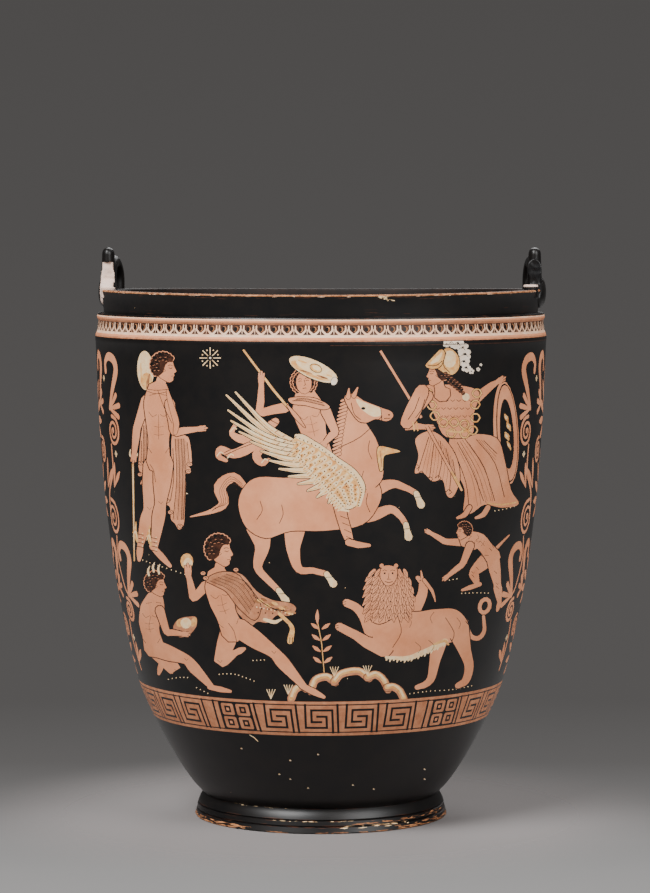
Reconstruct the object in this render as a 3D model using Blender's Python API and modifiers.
"""A clay situla: a deep turned bucket on a ring foot, with the remains of a looped lug on each side.

It is one fired piece. Metres, +Z up: the origin is the middle of the foot's underside, the lugs stand
over the X axis, and the front faces -Y.
"""

import math

import bmesh
import bpy
from mathutils import Matrix, Vector

# Mouth and rim
MOUTH_HEIGHT = 0.2779
MOUTH_RADIUS = 0.1156
MOUTH_SAG = 0.0013
LIP_WIDTH = 0.0080
LIP_DEPTH = 0.0056
LIP_ROUNDING = 0.0012
RIM_DEPTH = 0.0120
RIM_HOLLOW = 0.0015

# Moulding under the rim: a bead, a plain band for the painted eggs, and a wider bead
MOULDING_PROUD = 0.0014
UPPER_BEAD_HEIGHT = 0.0040
UPPER_BEAD_BULGE = 0.0007
BAND_HEIGHT = 0.0052
BAND_FLARE = 0.0005
LOWER_BEAD_HEIGHT = 0.0064
LOWER_BEAD_BULGE = 0.0007

# Bowl
SHOULDER_PROUD = 0.0014
SHOULDER_SLOPE = math.radians(1.6)
SHOULDER_PULL = 0.0942
WAIST_RADIUS = 0.0967
WAIST_HEIGHT = 0.0730
WAIST_SLOPE = math.radians(14.7)
WAIST_PULL_UP = 0.0419
WAIST_PULL_DOWN = 0.0140
NECK_RADIUS = 0.0622
NECK_SLOPE = math.radians(53.0)
NECK_PULL = 0.0124
WALL = 0.0062
FLOOR_THICKNESS = 0.0080

# Ring foot: a cove, a narrow band and a base band, parted by two grooves
COVE_HEIGHT = 0.0050
MIDDLE_BAND_HEIGHT = 0.0022
BASE_BAND_HEIGHT = 0.0032
BASE_ROUNDING = 0.0006
GROOVE_WIDTH = 0.0009
GROOVE_DEPTH = 0.0007
FOOT_RADIUS = 0.0667
FOOT_BULGE = 0.0010
FOOT_SPREAD_POWER = 0.77
RESTING_WIDTH = 0.0110
RECESS_DEPTH = 0.0072
RECESS_SLOPE = 0.0050

# Lugs: an upright post, a loop behind it, and what is left of the broken loop in front of it
LUG_THICKNESS = 0.0079
LUG_OVERHANG = 0.0007
LUG_ROOT = 0.0045
POST_HEIGHT = 0.0221
POST_WIDTH = 0.0112
POST_TAPER = 0.0008
LOOP_BAR = 0.0076
LOOP_RISE = 0.0180
LOOP_REACH = 0.0268
LOOP_SHOULDER = 0.0038
LOOP_TUCK = 0.0016
REAR_LOOP_ROOT = 0.0036
FRONT_LOOP_ROOT = 0.0029
LEFT_STUMP_RISE = 0.0012
RIGHT_STUMP_RISE = 0.0026
LEFT_BREAK_DEPTH = 0.0021
RIGHT_STUB_LENGTH = 0.0013
POST_BREAK_FLOOR = 0.0028
POST_BREAK_RISE = 0.0142
BREAK_SET_BACK = 0.0016
BREAK_ROUGHNESS = 0.0005

# Leaf-shaped plates under the posts, over the rim's outer face
PLATE_WIDTH = 0.0210
PLATE_TOP_RISE = 0.0072
PLATE_DROP = 0.0100
PLATE_SINK = 0.0030
LEFT_PLATE_PROUD = 0.0019
RIGHT_PLATE_PROUD = 0.0028
PLATE_NARROWING = 0.54
PLATE_FLATNESS = 0.6

# Fineness of the solid
TURN_STEPS = 60
UPPER_WALL_STEPS = 6
LOWER_WALL_STEPS = 6
POST_SIDES = 12
PLATE_SIDES = 10
LOOP_ROUND_STEPS = 2
LOOP_STEPS = 10
BREAK_CUTS = 3
SHARP_ANGLE = math.radians(35)
MERGE_DISTANCE = 0.00001

MOULDING_RADIUS = MOUTH_RADIUS + MOULDING_PROUD
MOULDING_TOP = MOUTH_HEIGHT - RIM_DEPTH
SHOULDER_RADIUS = MOULDING_RADIUS + SHOULDER_PROUD
SHOULDER_HEIGHT = MOULDING_TOP - UPPER_BEAD_HEIGHT - BAND_HEIGHT - LOWER_BEAD_HEIGHT
FOOT_HEIGHT = COVE_HEIGHT + MIDDLE_BAND_HEIGHT + BASE_BAND_HEIGHT + 2 * GROOVE_WIDTH
LUG_RADIUS = MOUTH_RADIUS + LUG_OVERHANG - LUG_THICKNESS / 2

# Each lug: its name, its side of the Z axis, where its front is broken off, and its stump and plate
LUGS = (
    ("left", -1, POST_WIDTH / 2 - LEFT_BREAK_DEPTH, LEFT_STUMP_RISE, LEFT_PLATE_PROUD),
    ("right", 1, POST_WIDTH / 2 + RIGHT_STUB_LENGTH, RIGHT_STUMP_RISE, RIGHT_PLATE_PROUD),
)


def clear_scene():
    for old in list(bpy.data.objects):
        bpy.data.objects.remove(old)


def make_collection(name):
    collection = bpy.data.collections.new(name)
    bpy.context.scene.collection.children.link(collection)
    return collection


def glazed_clay():
    material = bpy.data.materials.new("black_glazed_clay")
    material.use_nodes = True
    shader = material.node_tree.nodes["Principled BSDF"]
    shader.inputs["Base Color"].default_value = (0.012, 0.011, 0.010, 1.0)
    shader.inputs["Roughness"].default_value = 0.32
    shader.inputs["Metallic"].default_value = 0.0
    return material


def bezier(start, start_handle, end_handle, end, steps):
    """Points along a cubic curve in the (radius, height) plane, without its first one."""
    points = []
    for step in range(1, steps + 1):
        t = step / steps
        near = (1 - t) ** 3 * start + 3 * (1 - t) ** 2 * t * start_handle
        far = 3 * (1 - t) * t * t * end_handle + t**3 * end
        points.append(near + far)
    return points


def bead(top, bottom, bulge, steps):
    """A round moulding between two points, without its first one."""
    points = []
    for step in range(1, steps + 1):
        swell = bulge * math.sin(math.pi * step / steps)
        points.append(top.lerp(bottom, step / steps) + Vector((swell, 0)))
    return points


def slope(angle):
    """The upward direction of a wall that leans outward by this angle."""
    return Vector((math.sin(angle), math.cos(angle)))


def bowl_curve():
    """The bowl's outer wall, from under the moulding down to the foot."""
    shoulder = Vector((SHOULDER_RADIUS, SHOULDER_HEIGHT))
    waist = Vector((WAIST_RADIUS, WAIST_HEIGHT))
    neck = Vector((NECK_RADIUS, FOOT_HEIGHT))
    above = shoulder - SHOULDER_PULL * slope(SHOULDER_SLOPE)
    over_waist = waist + WAIST_PULL_UP * slope(WAIST_SLOPE)
    under_waist = waist - WAIST_PULL_DOWN * slope(WAIST_SLOPE)
    below = neck + NECK_PULL * slope(NECK_SLOPE)
    upper = bezier(shoulder, above, over_waist, waist, UPPER_WALL_STEPS)
    lower = bezier(waist, under_waist, below, neck, LOWER_WALL_STEPS)
    return [shoulder] + upper + lower


def offset_inward(points, distance):
    """The same line moved towards the inside of the bowl by a wall's thickness."""
    moved = []
    for index, point in enumerate(points):
        before = points[max(index - 1, 0)]
        after = points[min(index + 1, len(points) - 1)]
        along = (after - before).normalized()
        moved.append(point + distance * Vector((along.y, -along.x)))
    return moved


def foot_surface(height):
    """The radius of the foot's outer side at a height, without its grooves."""
    share = 1 - height / FOOT_HEIGHT
    spread = (FOOT_RADIUS - NECK_RADIUS) * share**FOOT_SPREAD_POWER
    return NECK_RADIUS + spread + FOOT_BULGE * math.sin(math.pi * share) * (1 - share)


def foot_outline():
    """The ring foot's outer side, from the neck down to the ground."""
    cove_middle = FOOT_HEIGHT - COVE_HEIGHT / 2
    points = [Vector((foot_surface(cove_middle), cove_middle))]
    top = FOOT_HEIGHT - COVE_HEIGHT
    for band in (MIDDLE_BAND_HEIGHT, BASE_BAND_HEIGHT):
        middle = top - GROOVE_WIDTH / 2
        points.append(Vector((foot_surface(top), top)))
        points.append(Vector((foot_surface(middle) - GROOVE_DEPTH, middle)))
        points.append(Vector((foot_surface(top - GROOVE_WIDTH), top - GROOVE_WIDTH)))
        top -= GROOVE_WIDTH + band
    points.append(Vector((FOOT_RADIUS, BASE_ROUNDING)))
    points.append(Vector((FOOT_RADIUS - BASE_ROUNDING, 0)))
    return points


def underside():
    resting_edge = FOOT_RADIUS - RESTING_WIDTH
    return [
        Vector((resting_edge, 0)),
        Vector((resting_edge - RECESS_SLOPE, RECESS_DEPTH)),
        Vector((0, RECESS_DEPTH)),
    ]


def mouth_outline(inner_wall_top):
    """From the top of the inner wall over the lip and down the rim and its moulding to the shoulder."""
    inner_lip = MOUTH_RADIUS - LIP_WIDTH
    lip_under = Vector((inner_lip, MOUTH_HEIGHT - LIP_DEPTH))
    swelling = Vector((0, (lip_under.y - inner_wall_top.y) / 2))
    rim_top = Vector((MOUTH_RADIUS, MOUTH_HEIGHT - LIP_ROUNDING / 2))
    rim_foot = Vector((MOUTH_RADIUS - RIM_HOLLOW, MOULDING_TOP))
    drawn_in = rim_top.lerp(rim_foot, 0.4) - Vector((RIM_HOLLOW / 4, 0))
    moulding_top = Vector((MOULDING_RADIUS, MOULDING_TOP - LIP_ROUNDING / 4))
    band_top = Vector((MOULDING_RADIUS, MOULDING_TOP - UPPER_BEAD_HEIGHT))
    band_foot = band_top + Vector((BAND_FLARE, -BAND_HEIGHT))
    shoulder = Vector((SHOULDER_RADIUS, SHOULDER_HEIGHT))

    points = bezier(inner_wall_top, inner_wall_top + swelling, lip_under - swelling, lip_under, 3)
    points.append(Vector((inner_lip, MOUTH_HEIGHT - LIP_ROUNDING)))
    points.append(Vector((inner_lip + LIP_ROUNDING, MOUTH_HEIGHT)))
    points.append(Vector((MOUTH_RADIUS - LIP_ROUNDING / 2, MOUTH_HEIGHT)))
    points.append(rim_top)
    points += bezier(rim_top, drawn_in, drawn_in, rim_foot, 3)
    points.append(moulding_top)
    points += bead(moulding_top, band_top, UPPER_BEAD_BULGE, 4)
    points.append(band_foot)
    points += bead(band_foot, shoulder, LOWER_BEAD_BULGE, 5)
    return points


def turned_outline():
    """The closed half section: out along the floor, up the inside, over the lip and down the outside."""
    outer_wall = bowl_curve()
    inner_wall = offset_inward(outer_wall, WALL)[::-1]
    points = [Vector((0, RECESS_DEPTH + FLOOR_THICKNESS))]
    points += inner_wall
    points += mouth_outline(inner_wall[-1])
    points += outer_wall[1:]
    points += foot_outline()
    points += underside()
    return points


def sag(place):
    """How far the clay sank between the lugs while it was wet: most at the lip, none at the shoulder."""
    rise = max(0.0, (place.z - SHOULDER_HEIGHT) / (MOUTH_HEIGHT - SHOULDER_HEIGHT))
    span = math.hypot(place.x, place.y)
    away_from_lugs = (place.y / span) ** 2 if span > 0 else 0
    return MOUTH_SAG * rise**2 * away_from_lugs


def as_mesh_object(source, name, collection):
    """A new mesh object made from another as it is evaluated, which it takes the place of."""
    bpy.context.view_layer.update()
    graph = bpy.context.evaluated_depsgraph_get()
    mesh = bpy.data.meshes.new_from_object(source.evaluated_get(graph))
    shape = bmesh.new()
    shape.from_mesh(mesh)
    bmesh.ops.remove_doubles(shape, verts=shape.verts, dist=MERGE_DISTANCE)
    bmesh.ops.recalc_face_normals(shape, faces=shape.faces)
    shape.to_mesh(mesh)
    shape.free()
    made = bpy.data.objects.new(name, mesh)
    made.matrix_world = source.matrix_world
    collection.objects.link(made)
    bpy.data.objects.remove(source)
    return made


def turned(outline, name, steps, collection):
    """A mesh object turned round the Z axis from an outline of (radius, height) points."""
    mesh = bpy.data.meshes.new("outline")
    edges = [(index, index + 1) for index in range(len(outline) - 1)]
    mesh.from_pydata([(radius, 0, height) for radius, height in outline], edges, [])
    profile = bpy.data.objects.new("outline", mesh)
    collection.objects.link(profile)
    screw = profile.modifiers.new("turn", "SCREW")
    screw.axis = "Z"
    screw.steps = steps
    screw.render_steps = steps
    screw.use_merge_vertices = True
    screw.merge_threshold = MERGE_DISTANCE
    return as_mesh_object(profile, name, collection)


def make_body(collection):
    body = turned(turned_outline(), "situla", TURN_STEPS, collection)
    for vertex in body.data.vertices:
        vertex.co.z -= sag(vertex.co)
    body.data.materials.append(glazed_clay())
    return body


def on_rim(side, along, outward, rise):
    """A place by the mouth: along the rim from the X axis, outward from the lugs' middle, over the lip."""
    angle = along / LUG_RADIUS
    radius = LUG_RADIUS + outward
    return Vector((side * radius * math.cos(angle), radius * math.sin(angle), MOUTH_HEIGHT + rise))


def as_helper(obj):
    obj.hide_render = True
    obj.display_type = "WIRE"
    return obj


def helper_from(shape, name, collection):
    mesh = bpy.data.meshes.new(name)
    shape.to_mesh(mesh)
    shape.free()
    obj = bpy.data.objects.new(name, mesh)
    collection.objects.link(obj)
    return as_helper(obj)


def make_post(name, side, collection):
    """The upright post in the middle of a lug, turned and then widened along the rim."""
    foot = LUG_THICKNESS / 2
    head = foot - POST_TAPER
    outline = [(0, POST_HEIGHT)]
    for step in range(1, 5):
        angle = step / 4 * math.pi / 2
        outline.append((head * math.sin(angle), POST_HEIGHT - head + head * math.cos(angle)))
    outline += [(foot, POST_HEIGHT / 2), (foot, -LUG_ROOT), (0, -LUG_ROOT)]
    post = turned(outline, name, POST_SIDES, collection)
    widen = Matrix.Diagonal((1, POST_WIDTH / LUG_THICKNESS, 1, 1))
    post.data.transform(Matrix.Translation(on_rim(side, 0, 0, 0)) @ widen)
    return as_helper(post)


def loop_route(root):
    """The middle line of a loop, from its outer leg to its inner one: how far along the rim and how high."""
    far_leg = LOOP_REACH - LOOP_BAR / 2
    near_leg = POST_WIDTH / 2 - LOOP_TUCK
    middle = (far_leg + near_leg) / 2
    half_span = (far_leg - near_leg) / 2
    arch_rise = LOOP_RISE - LOOP_BAR / 2 - LOOP_SHOULDER
    route = [(far_leg, -root)]
    for step in range(LOOP_STEPS + 1):
        angle = step / LOOP_STEPS * math.pi
        route.append((middle + half_span * math.cos(angle), LOOP_SHOULDER + arch_rise * math.sin(angle)))
    route.append((near_leg, -root))
    return route


def make_loop(name, side, direction, root, collection):
    """A bar bent into an arch along the rim's curve, behind the post (1) or in front of it (-1)."""
    curve = bpy.data.curves.new(name, "CURVE")
    curve.dimensions = "3D"
    curve.bevel_depth = LOOP_BAR / 2
    curve.bevel_resolution = LOOP_ROUND_STEPS
    curve.use_fill_caps = True
    route = loop_route(root)
    spline = curve.splines.new("POLY")
    spline.points.add(len(route) - 1)
    for point, (along, rise) in zip(spline.points, route):
        point.co = (*on_rim(side, direction * along, 0, rise), 1)
    bar = bpy.data.objects.new("loop_bar", curve)
    collection.objects.link(bar)
    return as_helper(as_mesh_object(bar, name, collection))


def make_plate(name, side, proud, collection):
    """The leaf-shaped plate that laps over the rim's outer face below a post, narrow at its top."""
    shape = bmesh.new()
    bmesh.ops.create_uvsphere(shape, u_segments=PLATE_SIDES, v_segments=PLATE_SIDES - 2, radius=1)
    inner_face = MOUTH_RADIUS - PLATE_SINK - LUG_RADIUS
    middle_rise = (PLATE_TOP_RISE - PLATE_DROP) / 2
    half_height = (PLATE_TOP_RISE + PLATE_DROP) / 2
    for vertex in shape.verts:
        out, along, up = vertex.co
        half_width = PLATE_WIDTH / 2 * (1 - PLATE_NARROWING * up)
        outward = inner_face + (PLATE_SINK + proud) * math.copysign(abs(out) ** PLATE_FLATNESS, out)
        vertex.co = on_rim(side, along * half_width, outward, middle_rise + up * half_height)
    bmesh.ops.recalc_face_normals(shape, faces=shape.faces[:])
    return helper_from(shape, name, collection)


def make_break(name, side, near, low, high, collection):
    """A block with uneven faces that takes away the front of a lug, from near the post on."""
    shape = bmesh.new()
    bmesh.ops.create_cube(shape, size=1)
    bmesh.ops.subdivide_edges(shape, edges=shape.edges[:], cuts=BREAK_CUTS, use_grid_fill=True)
    size = Matrix.Diagonal((LUG_THICKNESS * 2, LOOP_REACH, high - low, 1))
    bmesh.ops.transform(shape, matrix=size, verts=shape.verts)
    for index, vertex in enumerate(shape.verts):
        wave = BREAK_ROUGHNESS * math.sin(2.4 * index + 0.7)
        vertex.co += Vector((0, wave, wave))
    bmesh.ops.triangulate(shape, faces=shape.faces[:])
    middle = on_rim(side, -near, 0, (low + high) / 2) - Vector((0, LOOP_REACH / 2, 0))
    bmesh.ops.transform(shape, matrix=Matrix.Translation(middle), verts=shape.verts)
    return helper_from(shape, name, collection)


def add_boolean(target, other, operation):
    modifier = target.modifiers.new(other.name, "BOOLEAN")
    modifier.operation = operation
    modifier.object = other


def add_lug(body, label, side, near, stump_rise, plate_proud, helpers):
    """Joins one lug to the body, with its front loop broken away."""
    post = make_post(label + "_post", side, helpers)
    rear_loop = make_loop(label + "_rear_loop", side, 1, REAR_LOOP_ROOT, helpers)
    front_loop = make_loop(label + "_front_loop", side, -1, FRONT_LOOP_ROOT, helpers)
    plate = make_plate(label + "_plate", side, plate_proud, helpers)
    loop_end = near
    if near < POST_WIDTH / 2:
        name = label + "_post_break"
        post_break = make_break(name, side, near, POST_BREAK_FLOOR, POST_BREAK_RISE, helpers)
        add_boolean(post, post_break, "DIFFERENCE")
        loop_end = near - BREAK_SET_BACK
    over_loop = LOOP_RISE + LOOP_BAR
    loop_break = make_break(label + "_loop_break", side, loop_end, stump_rise, over_loop, helpers)
    add_boolean(front_loop, loop_break, "DIFFERENCE")
    for piece in (post, rear_loop, front_loop, plate):
        add_boolean(body, piece, "UNION")


def main():
    clear_scene()
    parts = make_collection("situla")
    helpers = make_collection("cutters")
    body = make_body(parts)
    for label, side, near, stump_rise, plate_proud in LUGS:
        add_lug(body, label, side, near, stump_rise, plate_proud, helpers)
    body.data.shade_smooth()
    body.data.set_sharp_from_angle(angle=SHARP_ANGLE)


main()
